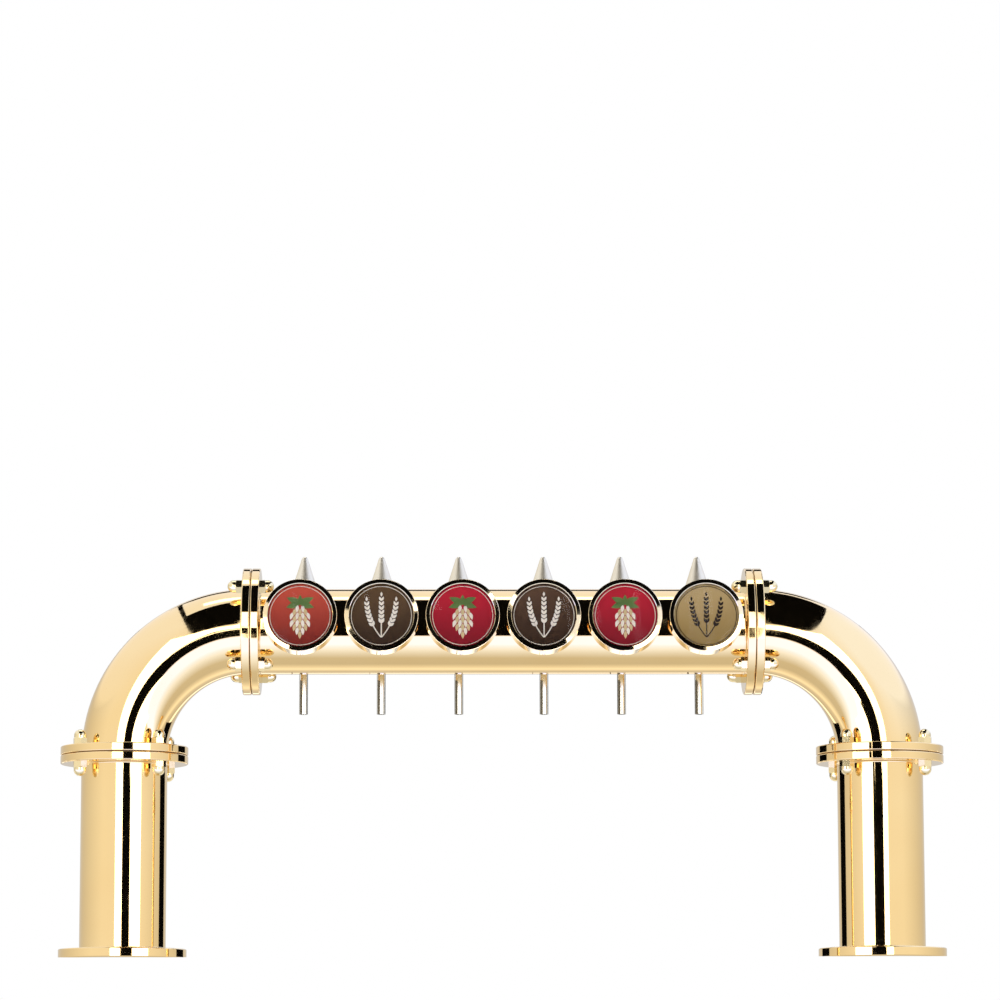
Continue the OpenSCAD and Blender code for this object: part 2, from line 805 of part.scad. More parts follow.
module line_spacers() {
    color(rubber) mirrored() translate([-leg_x, 0, spacer_h]) difference() {
        cylinder(r = bore_r - fit_gap, h = spacer_t);
        for (k = [0:side_taps - 1]) translate([0, line_y(k), -cut])
            cylinder(r = line_r + fit_gap, h = spacer_t + 2 * cut);
        translate([coolant_in, 0, -cut]) cylinder(r = coolant_r + fit_gap, h = spacer_t + 2 * cut);
    }
}

left_base_flange();
left_leg_tube();
left_leg_flange();
left_elbow_lower_flange();
left_elbow();
left_elbow_upper_flange();
left_bar_flange();
mirror([1, 0, 0]) left_base_flange();  // right_base_flange
mirror([1, 0, 0]) left_leg_tube();  // right_leg_tube
mirror([1, 0, 0]) left_leg_flange();  // right_leg_flange
mirror([1, 0, 0]) left_elbow_lower_flange();  // right_elbow_lower_flange
mirror([1, 0, 0]) left_elbow();  // right_elbow
mirror([1, 0, 0]) left_elbow_upper_flange();  // right_elbow_upper_flange
mirror([1, 0, 0]) left_bar_flange();  // right_bar_flange
bar_tube();
flange_gaskets();
flange_studs();
dome_nuts();
tap_bosses();
tap_shanks();
seat_washers();
coupling_nuts();
tap_body(1);  // tap_body_1
tap_body(2);  // tap_body_2
tap_body(3);  // tap_body_3
tap_body(4);  // tap_body_4
tap_body(5);  // tap_body_5
tap_body(6);  // tap_body_6
lever_pins();
lever(1);  // lever_1
lever(2);  // lever_2
lever(3);  // lever_3
lever(4);  // lever_4
lever(5);  // lever_5
lever(6);  // lever_6
handle(1);  // handle_1
handle(2);  // handle_2
handle(3);  // handle_3
handle(4);  // handle_4
handle(5);  // handle_5
handle(6);  // handle_6
plunger(1);  // plunger_1
plunger(2);  // plunger_2
plunger(3);  // plunger_3
plunger(4);  // plunger_4
plunger(5);  // plunger_5
plunger(6);  // plunger_6
spouts();
medallion_cups();
medallion_bezels();
medallion_plate(1);  // medallion_plate_1
medallion_plate(2);  // medallion_plate_2
medallion_plate(3);  // medallion_plate_3
medallion_plate(4);  // medallion_plate_4
medallion_plate(5);  // medallion_plate_5
medallion_plate(6);  // medallion_plate_6
medallion_lenses();
beer_lines();
coolant_pipe();
line_spacers();
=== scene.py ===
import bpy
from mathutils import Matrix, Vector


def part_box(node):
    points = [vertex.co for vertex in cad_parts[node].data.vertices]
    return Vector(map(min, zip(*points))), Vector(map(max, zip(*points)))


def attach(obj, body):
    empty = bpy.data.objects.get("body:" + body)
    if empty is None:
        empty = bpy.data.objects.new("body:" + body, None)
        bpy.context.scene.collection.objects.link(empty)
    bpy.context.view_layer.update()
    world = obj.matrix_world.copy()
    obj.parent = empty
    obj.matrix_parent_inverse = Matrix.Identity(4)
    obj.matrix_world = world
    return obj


bl_info = {
    "name": "Bridge Beer Tower",
    "version": (1, 0, 0),
    "blender": (4, 5, 0),
    "location": "View3D > Sidebar > Beer Tower",
    "description": "Finishes, brazed seams and medallion prints of a bridge beer tower, with its studio",
    "category": "Object",
}

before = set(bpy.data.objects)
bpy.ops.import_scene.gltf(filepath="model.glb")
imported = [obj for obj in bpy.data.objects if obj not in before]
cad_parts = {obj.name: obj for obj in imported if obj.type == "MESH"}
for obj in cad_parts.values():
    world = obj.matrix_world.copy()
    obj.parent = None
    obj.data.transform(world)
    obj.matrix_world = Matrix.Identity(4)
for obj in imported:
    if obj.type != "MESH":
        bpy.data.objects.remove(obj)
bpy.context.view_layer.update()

from math import asin, cos, pi, radians, sin, sqrt

import bmesh
import bpy
from bpy.props import FloatProperty, FloatVectorProperty, IntProperty, PointerProperty
from mathutils import Matrix, Vector

MM = 0.001
SIDES = ("left", "right")
TAPS = range(1, 7)
TOWER = "tower"

# Points round a tube's rim, round a boss and round a printed ring.
RIM_STEPS = 144
BOSS_STEPS = 96
RING_STEPS = 128

# Upper colour, lower colour, emblem and ink of each medallion, from the guest's left.
PLATES = (
    ("#C84E38", "#7A2219", "hop", "cream"),
    ("#61482C", "#332113", "barley", "cream"),
    ("#BE1C2E", "#82101E", "hop", "cream"),
    ("#583F2B", "#372314", "barley", "cream"),
    ("#BE1C2E", "#82101E", "hop", "cream"),
    ("#BFA26A", "#96793F", "barley", "umber"),
)

# Painted glow of the floor as the metal sees it, by its Y in metres: painted light in front and in two bands
# behind, and a painted shadow under the bar.
FLOOR_GLOW_IN_METAL = (
    (-0.42, (1.35, 1.5, 2.8)),
    (-0.25, (1.05, 1.22, 1.75)),
    (-0.07, (0.7, 0.7, 0.7)),
    (0.05, (0.68, 0.68, 0.68)),
    (0.21, (1.2, 1.2, 1.2)),
    (0.32, (0.8, 0.8, 0.8)),
    (0.5, (0.64, 0.64, 0.64)),
    (0.58, (0.64, 0.64, 0.64)),
    (0.66, (1.7, 1.7, 1.7)),
    (0.85, (1.7, 1.7, 1.7)),
    (0.95, (0.64, 0.64, 0.64)),
)

# X and Y of the softboxes' ends, in metres. A gap is left between the far ends for the camera.
LEFT_NEAR, LEFT_FAR = (-0.611, -0.715), (-0.365, -2.1)
RIGHT_NEAR, RIGHT_FAR = (0.58, -0.816), (0.43, -2.12)

# Height of the studio's roof, in metres, and the outline in X and Y of the black flag that hangs there.
ROOF = 2.2
ROOF_OUTLINE = (
    (-1.24, -6.5), (1.32, -6.5), (1.32, 1.6), (0.5, 1.6), (0.5, 0.0),
    (0.0, -0.03), (-1.17, -0.47), (-1.17, 2.5), (-1.24, 2.5),
)


def linear(hex_colour):
    """Linear colour of an sRGB hex value."""
    parts = [int(hex_colour[i:i + 2], 16) / 255 for i in (1, 3, 5)]
    return tuple(c / 12.92 if c <= 0.04045 else ((c + 0.055) / 1.055) ** 2.4 for c in parts)


def opaque(colour):
    """A colour with full alpha."""
    return (*colour, 1.0)


def box_middle(node):
    """Middle of a CAD node's box."""
    low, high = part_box(node)
    return (low + high) / 2


def length_setting(name, description, size):
    """A length in metres."""
    return FloatProperty(name=name, description=description, default=size, unit="LENGTH")


def colour_setting(name, description, hex_colour):
    """A colour, given as an sRGB hex value."""
    return FloatVectorProperty(
        name=name, description=description, subtype="COLOR", default=linear(hex_colour))


class TowerSizes(bpy.types.PropertyGroup):
    """Sizes of the seams and prints."""
    elbow_straight: length_setting("Elbow straight", "Straight stretch of an elbow at the leg", 1 * MM)
    flange_seam: length_setting(
        "Flange seam", "Leg of the brazed fillet between a tube and its flange", 1.6 * MM)
    boss_seam: length_setting("Boss seam", "Leg of the brazed fillet between the bar and a boss", 1.4 * MM)
    medallion_boss: length_setting("Medallion boss", "Diameter of the boss behind a medallion", 30 * MM)
    tap_boss: length_setting("Tap boss", "Diameter of the boss behind a tap", 34 * MM)
    medallion_tilt: FloatProperty(
        name="Medallion tilt", description="Upward tilt of the medallions",
        default=radians(7), subtype="ANGLE")
    plate_thickness: length_setting("Plate thickness", "Thickness of a medallion plate", 1 * MM)
    print_height: length_setting("Print height", "Height of the raised print on a plate", 0.12 * MM)
    ring_radius: length_setting("Ring radius", "Radius of the printed ring near a plate's edge", 30.8 * MM)
    ring_width: length_setting("Ring width", "Width of the printed ring", 0.7 * MM)
    grain_length: length_setting("Grain length", "Length of one printed barley grain", 6.2 * MM)
    grain_pairs: IntProperty(
        name="Grain pairs", description="Pairs of grains in one printed barley ear",
        default=6, min=2, max=12)


class TowerColours(bpy.types.PropertyGroup):
    """Colours of the finishes and of the studio."""
    gold: colour_setting("Gold", "Polished gold plating", "#FADBA0")
    gold_warm: colour_setting("Warm gold", "Slightly warmer patches of the plating", "#F6D395")
    nut_brass: colour_setting("Nut brass", "Bare brass of the dome nuts", "#F2DDAA")
    pale_gold: colour_setting("Pale gold", "Thin gold flash on the medallions", "#FBEBCB")
    steel: colour_setting("Steel", "Turned stainless steel", "#D9D6CD")
    handle_steel: colour_setting("Handle steel", "Warm satin steel of the handles", "#EFE3C8")
    bright_steel: colour_setting("Bright steel", "Polished steel of the spouts", "#EDE8DA")
    rubber: colour_setting("Rubber", "Black gasket rubber", "#1E1E20")
    rubber_bloom: colour_setting("Rubber bloom", "Greyer patches of the rubber", "#2C2C2E")
    cream: colour_setting("Cream ink", "Pale ink of the prints", "#F1E6CE")
    straw: colour_setting("Straw ink", "Second pale ink of the prints", "#D8BE86")
    leaf: colour_setting("Leaf ink", "Green ink of the prints", "#5F7A3A")
    umber: colour_setting("Umber ink", "Dark ink of the prints", "#2A1C12")
    floor: colour_setting("Floor", "Pale studio floor", "#F2F0EC")
    floor_shade: colour_setting("Floor shade", "Darker patches of the floor", "#ECEAE6")
    black_felt: colour_setting("Black felt", "Felt of the black flags", "#0B0B0C")
    grey_felt: colour_setting("Grey felt", "Felt of the grey flags", "#928D82")


class TowerStudio(bpy.types.PropertyGroup):
    """Camera and light."""
    camera_place: FloatVectorProperty(
        name="Camera place", description="Where the camera stands", subtype="XYZ", unit="LENGTH",
        default=(-0.0667, -4.273, -0.1574))
    camera_pitch: FloatProperty(
        name="Camera pitch", description="Upward tilt of the camera",
        default=radians(8.452), subtype="ANGLE")
    camera_yaw: FloatProperty(
        name="Camera yaw", description="Turn of the camera to the right",
        default=radians(0.848), subtype="ANGLE")
    camera_roll: FloatProperty(
        name="Camera roll", description="Lean of the camera to the right",
        default=radians(0.118), subtype="ANGLE")
    camera_lens: FloatProperty(
        name="Camera lens", description="Focal length", default=148.54, unit="CAMERA")
    softbox_level: FloatProperty(
        name="Softbox level", description="Brightness of the two softboxes", default=3.2)
    overhead_level: FloatProperty(
        name="Overhead level", description="Brightness of the overhead panel in the metal", default=3.2)
    overhead_fill: FloatProperty(
        name="Overhead fill", description="Brightness of the overhead panel on matt surfaces", default=0.5)
    tent_dim: FloatProperty(
        name="Tent dimming", description="How much dimmer the tent is behind the tower, near the floor",
        default=0.32)
    glare: FloatVectorProperty(
        name="Glare", description="Cool bright light of the tent on the right and above",
        subtype="COLOR", soft_max=3.0, default=(1.05, 1.22, 1.75))
    room_level: FloatProperty(
        name="Room level", description="Brightness of the room on matt surfaces", default=0.8)
    fill_level: FloatProperty(
        name="Fill level", description="Brightness of the lamp that lights matt surfaces", default=1.2)


class TowerSettings(bpy.types.PropertyGroup):
    """All settings of the tower."""
    sizes: PointerProperty(type=TowerSizes)
    colours: PointerProperty(type=TowerColours)
    studio: PointerProperty(type=TowerStudio)


def settings():
    """The tower's settings in this scene."""
    return bpy.context.scene.beer_tower


def add(tree, kind, inputs=None, **options):
    """Adds a node, sets its options, and sets or links its inputs."""
    node = tree.nodes.new(kind)
    for name, value in options.items():
        setattr(node, name, value)
    for name, value in (inputs or {}).items():
        if isinstance(value, bpy.types.NodeSocket):
            tree.links.new(value, node.inputs[name])
        else:
            node.inputs[name].default_value = value
    return node


def new_material(name):
    """A material with an empty node tree, and the tree."""
    material = bpy.data.materials.new(name)
    material.use_nodes = True
    material.node_tree.nodes.clear()
    return material, material.node_tree


def gold_plate(name, colour, warm):
    """Gold-plated brass, buffed on a wheel: a sharp mirror with faint smears and a slow ripple."""
    material, tree = new_material(name)
    place = add(tree, "ShaderNodeTexCoord").outputs["Object"]
    ripple = add(tree, "ShaderNodeTexNoise", {"Vector": place, "Scale": 1 / (55 * MM), "Detail": 1.0})
    smear = add(tree, "ShaderNodeTexNoise", {"Vector": place, "Scale": 1 / (9 * MM), "Detail": 4.0})
    tint = add(tree, "ShaderNodeMix", {
        "Factor": ripple.outputs["Fac"], "A": opaque(colour), "B": opaque(warm)},
        data_type="RGBA")
    gloss = add(tree, "ShaderNodeMapRange", {
        "Value": smear.outputs["Fac"], "From Min": 0.3, "From Max": 0.8, "To Min": 0.025, "To Max": 0.075})
    wall = add(tree, "ShaderNodeBump", {
        "Strength": 0.06, "Distance": 0.4 * MM, "Height": ripple.outputs["Fac"]})
    shader = add(tree, "ShaderNodeBsdfPrincipled", {
        "Metallic": 1.0, "Base Color": tint.outputs["Result"], "Roughness": gloss.outputs["Result"],
        "Normal": wall.outputs["Normal"]})
    add(tree, "ShaderNodeOutputMaterial", {"Surface": shader.outputs["BSDF"]})
    return material


def rubbed_metal(name, colour, patch, glossy, dull):
    """A metal whose roughness wanders from glossy to dull in patches of the given size."""
    material, tree = new_material(name)
    place = add(tree, "ShaderNodeTexCoord").outputs["Object"]
    spots = add(tree, "ShaderNodeTexNoise", {"Vector": place, "Scale": 1 / patch, "Detail": 4.0})
    gloss = add(tree, "ShaderNodeMapRange", {
        "Value": spots.outputs["Fac"], "From Min": 0.3, "From Max": 0.8, "To Min": glossy, "To Max": dull})
    shader = add(tree, "ShaderNodeBsdfPrincipled", {
        "Metallic": 1.0, "Base Color": opaque(colour), "Roughness": gloss.outputs["Result"]})
    add(tree, "ShaderNodeOutputMaterial", {"Surface": shader.outputs["BSDF"]})
    return material


def tumbled_brass():
    """Bare brass, turned and tumbled: a soft gold sheen that blurs what it mirrors, with small dull spots."""
    return rubbed_metal("brass_tumbled", settings().colours.nut_brass, 3 * MM, 0.12, 0.18)


def polished_steel():
    """Stainless steel, polished by hand: a soft mirror with faint rubbing marks."""
    return rubbed_metal("stainless_steel_polished", settings().colours.bright_steel, 6 * MM, 0.1, 0.2)


def stainless_steel():
    """Stainless steel, drawn and turned: a soft shine with fine marks left by the tool, drawn coarse enough
    to show."""
    material, tree = new_material("stainless_steel_turned")
    place = add(tree, "ShaderNodeTexCoord").outputs["Object"]
    marks = add(tree, "ShaderNodeTexNoise", {"Vector": place, "Scale": 1 / (0.8 * MM), "Detail": 2.0})
    cloud = add(tree, "ShaderNodeTexNoise", {"Vector": place, "Scale": 1 / (14 * MM), "Detail": 3.0})
    gloss = add(tree, "ShaderNodeMapRange", {"Value": cloud.outputs["Fac"], "To Min": 0.12, "To Max": 0.26})
    tool_marks = add(tree, "ShaderNodeBump", {
        "Strength": 0.1, "Distance": 0.05 * MM, "Height": marks.outputs["Fac"]})
    shader = add(tree, "ShaderNodeBsdfPrincipled", {
        "Metallic": 1.0, "Base Color": opaque(settings().colours.steel),
        "Roughness": gloss.outputs["Result"], "Normal": tool_marks.outputs["Normal"]})
    add(tree, "ShaderNodeOutputMaterial", {"Surface": shader.outputs["BSDF"]})
    return material


def satin_steel():
    """Stainless steel, blasted with fine beads and rubbed: pale, with broad soft lights and a faint grain,
    drawn coarse enough to show."""
    material, tree = new_material("stainless_steel_satin")
    place = add(tree, "ShaderNodeTexCoord").outputs["Object"]
    grain = add(tree, "ShaderNodeTexNoise", {"Vector": place, "Scale": 1 / (1.2 * MM), "Detail": 3.0})
    rubbed = add(tree, "ShaderNodeTexNoise", {"Vector": place, "Scale": 1 / (8 * MM), "Detail": 3.0})
    gloss = add(tree, "ShaderNodeMapRange", {
        "Value": rubbed.outputs["Fac"], "From Min": 0.3, "From Max": 0.8, "To Min": 0.4, "To Max": 0.48})
    beads = add(tree, "ShaderNodeBump", {
        "Strength": 0.08, "Distance": 0.05 * MM, "Height": grain.outputs["Fac"]})
    shader = add(tree, "ShaderNodeBsdfPrincipled", {
        "Metallic": 1.0, "Base Color": opaque(settings().colours.handle_steel),
        "Roughness": gloss.outputs["Result"], "Normal": beads.outputs["Normal"]})
    add(tree, "ShaderNodeOutputMaterial", {"Surface": shader.outputs["BSDF"]})
    return material


def felt(name, colour):
    """Pressed wool felt: a matt surface with no gloss at all."""
    material, tree = new_material(name)
    shader = add(tree, "ShaderNodeBsdfPrincipled", {
        "Base Color": opaque(colour), "Roughness": 0.9, "Specular IOR Level": 0.0})
    add(tree, "ShaderNodeOutputMaterial", {"Surface": shader.outputs["BSDF"]})
    return material


def light_panel():
    """Opal light panel: an even white glow, brighter in the metal than as light on matt surfaces."""
    studio = settings().studio
    material, tree = new_material("overhead_panel")
    path = add(tree, "ShaderNodeLightPath")
    level = add(tree, "ShaderNodeMapRange", {
        "Value": path.outputs["Is Glossy Ray"],
        "To Min": studio.overhead_fill, "To Max": studio.overhead_level})
    glow = add(tree, "ShaderNodeEmission", {"Strength": level.outputs["Result"]})
    add(tree, "ShaderNodeOutputMaterial", {"Surface": glow.outputs["Emission"]})
    return material


def white_edge():
    """White laminate in full light: as white as the room."""
    material, tree = new_material("white_counter_edge")
    white = add(tree, "ShaderNodeEmission")
    add(tree, "ShaderNodeOutputMaterial", {"Surface": white.outputs["Emission"]})
    return material


def gasket_rubber():
    """Black rubber, moulded: dull, with a little grey bloom and a fine grain, drawn coarse enough to show."""
    colours = settings().colours
    material, tree = new_material("black_rubber_moulded")
    place = add(tree, "ShaderNodeTexCoord").outputs["Object"]
    grain = add(tree, "ShaderNodeTexNoise", {"Vector": place, "Scale": 1 / (0.7 * MM), "Detail": 3.0})
    bloom = add(tree, "ShaderNodeTexNoise", {"Vector": place, "Scale": 1 / (12 * MM), "Detail": 3.0})
    tint = add(tree, "ShaderNodeMix", {
        "Factor": bloom.outputs["Fac"], "A": opaque(colours.rubber), "B": opaque(colours.rubber_bloom)},
        data_type="RGBA")
    bump = add(tree, "ShaderNodeBump", {
        "Strength": 0.3, "Distance": 0.05 * MM, "Height": grain.outputs["Fac"]})
    shader = add(tree, "ShaderNodeBsdfPrincipled", {
        "Base Color": tint.outputs["Result"], "Roughness": 0.62, "Normal": bump.outputs["Normal"]})
    add(tree, "ShaderNodeOutputMaterial", {"Surface": shader.outputs["BSDF"]})
    return material


def printed_plate(number, upper, lower):
    """Aluminium plate printed all over: a satin colour that deepens downwards, with a fine mottle of ink."""
    middle = box_middle(f"medallion_plate_{number}")
    material, tree = new_material(f"printed_aluminium_{number}")
    place = add(tree, "ShaderNodeTexCoord").outputs["Object"]
    mottle = add(tree, "ShaderNodeTexNoise", {"Vector": place, "Scale": 1 / (2.5 * MM), "Detail": 3.0})
    height = add(tree, "ShaderNodeSeparateXYZ", {"Vector": place})
    reach = 36 * MM
    fade = add(tree, "ShaderNodeMapRange", {
        "Value": height.outputs["Z"], "From Min": middle.z - reach, "From Max": middle.z + reach},
        interpolation_type="SMOOTHSTEP")
    swing = 0.16
    uneven = add(tree, "ShaderNodeMath", {
        0: mottle.outputs["Fac"], 1: swing, 2: -swing / 2}, operation="MULTIPLY_ADD")
    blend = add(tree, "ShaderNodeMath", {
        0: fade.outputs["Result"], 1: uneven.outputs["Value"]}, use_clamp=True)
    tint = add(tree, "ShaderNodeMix", {
        "Factor": blend.outputs["Value"], "A": opaque(linear(lower)), "B": opaque(linear(upper))},
        data_type="RGBA")
    shader = add(tree, "ShaderNodeBsdfPrincipled", {
        "Base Color": tint.outputs["Result"], "Roughness": 0.5, "Specular IOR Level": 0.1})
    add(tree, "ShaderNodeOutputMaterial", {"Surface": shader.outputs["BSDF"]})
    return material


def print_ink(name, colour):
    """Screen-printed ink: nearly matt, with the slight unevenness of a pulled screen, whose mesh is drawn
    coarse enough to show."""
    material, tree = new_material(f"screen_ink_{name}")
    place = add(tree, "ShaderNodeTexCoord").outputs["Object"]
    mesh = add(tree, "ShaderNodeTexNoise", {"Vector": place, "Scale": 1 / (0.6 * MM), "Detail": 2.0})
    thick_ink = 0.86
    deep = tuple(thick_ink * c for c in colour)
    tint = add(tree, "ShaderNodeMix", {
        "Factor": mesh.outputs["Fac"], "A": opaque(deep), "B": opaque(colour)}, data_type="RGBA")
    shader = add(tree, "ShaderNodeBsdfPrincipled", {
        "Base Color": tint.outputs["Result"], "Roughness": 0.55, "Specular IOR Level": 0.2})
    add(tree, "ShaderNodeOutputMaterial", {"Surface": shader.outputs["BSDF"]})
    return material


def clear_acrylic():
    """Clear acrylic, cast, polished and coated against glare: a weak gloss with the ripple of a casting."""
    material, tree = new_material("clear_acrylic_cast")
    place = add(tree, "ShaderNodeTexCoord").outputs["Object"]
    ripple = add(tree, "ShaderNodeTexNoise", {"Vector": place, "Scale": 1 / (11 * MM), "Detail": 1.0})
    casting = add(tree, "ShaderNodeBump", {
        "Strength": 0.02, "Distance": 0.1 * MM, "Height": ripple.outputs["Fac"]})
    lens = add(tree, "ShaderNodeBsdfPrincipled", {
        "Base Color": (1.0, 1.0, 1.0, 1.0), "Roughness": 0.0, "IOR": 1.49, "Transmission Weight": 1.0,
        "Specular Tint": (0.15, 0.15, 0.15, 1.0), "Normal": casting.outputs["Normal"]})
    clear = add(tree, "ShaderNodeBsdfTransparent")
    path = add(tree, "ShaderNodeLightPath")
    mix = add(tree, "ShaderNodeMixShader", {
        0: path.outputs["Is Shadow Ray"], 1: lens.outputs["BSDF"], 2: clear.outputs["BSDF"]})
    add(tree, "ShaderNodeOutputMaterial", {"Surface": mix.outputs["Shader"]})
    return material


def finish_nodes(nodes, material):
    """Puts a material on CAD nodes, whose meshes stay as they are."""
    for node in nodes:
        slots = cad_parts[node].material_slots
        if not slots:
            raise RuntimeError(f"{node} has no material slot")
        for slot in slots:
            slot.link = "OBJECT"
            slot.material = material


def made_once(name, maker):
    """The material of that name, made on first use."""
    return bpy.data.materials.get(name) or maker()


def gold():
    """The main finish of the tower, made on first use."""
    name, colours = "gold_plated_brass_buffed", settings().colours
    return made_once(name, lambda: gold_plate(name, colours.gold, colours.gold_warm))


def new_piece(name, build, material):
    """A mesh piece at the origin, filled by build(bm), that rides on the tower."""
    mesh = bpy.data.meshes.new(name)
    bm = bmesh.new()
    build(bm)
    bmesh.ops.recalc_face_normals(bm, faces=bm.faces)
    for face in bm.faces:
        face.smooth = True
    bm.to_mesh(mesh)
    bm.free()
    mesh.materials.append(material)
    piece = bpy.data.objects.new(name, mesh)
    bpy.context.scene.collection.objects.link(piece)
    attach(piece, TOWER)
    return piece


def seam(bm, corner, face_normals, rises, size):
    """Adds a concave fillet of braze along a closed corner line: size along the face and up the tube."""
    bury = 0.12 * MM
    curve = 7
    count = len(corner)
    middle = sum(corner, Vector()) / count
    loops = []
    for i in range(count):
        point = corner[i]
        tangent = corner[(i + 1) % count] - corner[i - 1]
        out = tangent.cross(face_normals[i]).normalized()
        if out.dot(point - middle) < 0:
            out = -out
        rise = rises[i]
        section = [point - bury * (out + rise), point + size * out - bury * rise]
        for k in range(curve + 1):
            u = k / curve
            section.append(point + size * ((1 - u) ** 2 * out + u ** 2 * rise))
        section.append(point + size * rise - bury * out)
        loops.append([bm.verts.new(p) for p in section])
    steps = len(loops[0])
    for i in range(count):
        here, there = loops[i], loops[(i + 1) % count]
        for k in range(steps):
            m = (k + 1) % steps
            bm.faces.new((here[k], there[k], there[m], here[m]))


def around(count):
    """Evenly spaced angles of a full turn."""
    return [2 * pi * i / count for i in range(count)]


def tube_radius():
    """Radius of the tower's tube, which is the same all along."""
    low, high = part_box("left_leg_tube")
    return (high.x - low.x) / 2


class TOWER_OT_tubes(bpy.types.Operator):
    """Finish the legs, elbows, bar and their flanges, gaskets, studs and nuts, and braze their seams"""
    bl_idname = "beer_tower.tubes"
    bl_label = "Tubes and flanges"

    def execute(self, context):
        rings = ("base_flange", "leg_flange", "elbow_lower_flange", "elbow_upper_flange", "bar_flange")
        names = [f"{side}_{part}" for side in SIDES for part in ("leg_tube", "elbow", *rings)]
        finish_nodes([*names, "bar_tube", "flange_studs"], gold())
        finish_nodes(["dome_nuts"], tumbled_brass())
        finish_nodes(["flange_gaskets"], made_once("black_rubber_moulded", gasket_rubber))
        new_piece("flange_seams", self.seams, gold())
        return {"FINISHED"}

    def seams(self, bm):
        """Fillets at the flanges of the left half, and their mirror images."""
        sizes = settings().sizes
        size = sizes.flange_seam
        tube_r = tube_radius()
        leg_x = box_middle("left_leg_tube").x
        bar_h = box_middle("bar_tube").z
        up, down, right = Vector((0, 0, 1)), Vector((0, 0, -1)), Vector((1, 0, 0))
        turns = around(RIM_STEPS)
        legs = [(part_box("left_base_flange")[1].z, up), (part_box("left_leg_flange")[0].z, down)]
        rims = []
        for height, way in legs:
            rim = [Vector((leg_x + tube_r * cos(a), tube_r * sin(a), height)) for a in turns]
            rims.append((rim, [way] * RIM_STEPS, [way] * RIM_STEPS))
        bar_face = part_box("left_bar_flange")[1].x
        rim = [Vector((bar_face, tube_r * cos(a), bar_h + tube_r * sin(a))) for a in turns]
        rims.append((rim, [right] * RIM_STEPS, [right] * RIM_STEPS))
        start_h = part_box("left_elbow")[0].z + sizes.elbow_straight
        bend = bar_h - start_h
        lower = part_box("left_elbow_lower_flange")[1].z - start_h
        upper_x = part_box("left_elbow_upper_flange")[0].x
        foot, foot_rise, head, head_rise = [], [], [], []
        for a in turns:
            reach = bend + tube_r * cos(a)
            y = tube_r * sin(a)
            swing = asin(lower / reach)
            foot.append(Vector((leg_x + bend - reach * cos(swing), y, start_h + lower)))
            foot_rise.append(Vector((sin(swing), 0, cos(swing))))
            swing = asin((leg_x + bend - upper_x) / reach)
            head.append(Vector((upper_x, y, start_h + reach * cos(swing))))
            head_rise.append(Vector((-cos(swing), 0, -sin(swing))))
        rims.append((foot, [up] * RIM_STEPS, foot_rise))
        rims.append((head, [-right] * RIM_STEPS, head_rise))
        flip = Matrix.Scale(-1, 3, right)
        for corner, normals, rises in rims:
            seam(bm, corner, normals, rises, size)
            far_side = [[flip @ v for v in row] for row in (corner, normals, rises)]
            seam(bm, *far_side, size)


class TOWER_OT_taps(bpy.types.Operator):
    """Finish the taps, their levers, handles, plungers and spouts, and braze their bosses"""
    bl_idname = "beer_tower.taps"
    bl_label = "Taps"

    def execute(self, context):
        golden = ["tap_bosses", "coupling_nuts"]
        for n in TAPS:
            golden += [f"tap_body_{n}", f"lever_{n}"]
        finish_nodes(golden, gold())
        finish_nodes(["spouts"], polished_steel())
        finish_nodes([f"handle_{n}" for n in TAPS], satin_steel())
        steel = made_once("stainless_steel_turned", stainless_steel)
        finish_nodes(["tap_shanks", "lever_pins", *(f"plunger_{n}" for n in TAPS)], steel)
        finish_nodes(["seat_washers"], made_once("black_rubber_moulded", gasket_rubber))
        bar = box_middle("bar_tube")
        places = [Vector((box_middle(f"tap_body_{n}").x, 0, bar.z)) for n in TAPS]
        to_bartender = pi / 2
        boss_r = settings().sizes.tap_boss / 2
        new_piece("tap_boss_seams", lambda bm: boss_seams(bm, places, boss_r, to_bartender),
                  gold())
        return {"FINISHED"}


def boss_seams(bm, places, boss_r, turn):
    """Fillets where round bosses stand on the bar. turn is the bosses' lean from the top to the bartender."""
    tube_r = tube_radius()
    out = Vector((0, sin(turn), cos(turn)))
    side = Vector((0, cos(turn), -sin(turn)))
    for place in places:
        corner, normals = [], []
        for a in around(BOSS_STEPS):
            across = boss_r * sin(a)
            deep = sqrt(tube_r ** 2 - across ** 2)
            radial = deep * out + across * side
            corner.append(place + Vector((boss_r * cos(a), 0, 0)) + radial)
            normals.append(radial.normalized())
        seam(bm, corner, normals, [out] * BOSS_STEPS, settings().sizes.boss_seam)


class TOWER_OT_lines(bpy.types.Operator):
    """Finish the beer lines, the coolant pipe and the spacers inside the tubes"""
    bl_idname = "beer_tower.lines"
    bl_label = "Lines"

    def execute(self, context):
        finish_nodes(["beer_lines", "coolant_pipe"], made_once("stainless_steel_turned", stainless_steel))
        finish_nodes(["line_spacers"], made_once("black_rubber_moulded", gasket_rubber))
        return {"FINISHED"}


def leaf_shape(name, sections, fullness):
    """A flat leaf of unit length that points along +Y. It is widest halfway, or lower down if fullness is
    below 1."""
    half_width, blunt = 0.22, 0.004
    mesh = bpy.data.meshes.new(name)
    bm = bmesh.new()
    right, left = [], []
    for k in range(sections + 1):
        t = k / sections
        half = half_width * sin(pi * t ** fullness) + blunt
        right.append((half, t))
        left.append((-half, t))
    outline = right + left[::-1]
    top = [bm.verts.new((x, y, 1.0)) for x, y in outline]
    base = [bm.verts.new((x, y, 0.0)) for x, y in outline]
    count = len(outline)
    bm.faces.new(top)
    bm.faces.new(base[::-1])
    for i in range(count):
        j = (i + 1) % count
        bm.faces.new((base[i], base[j], top[j], top[i]))
    bmesh.ops.recalc_face_normals(bm, faces=bm.faces)
    bm.to_mesh(mesh)
    bm.free()
    return bpy.data.objects.new(name, mesh)


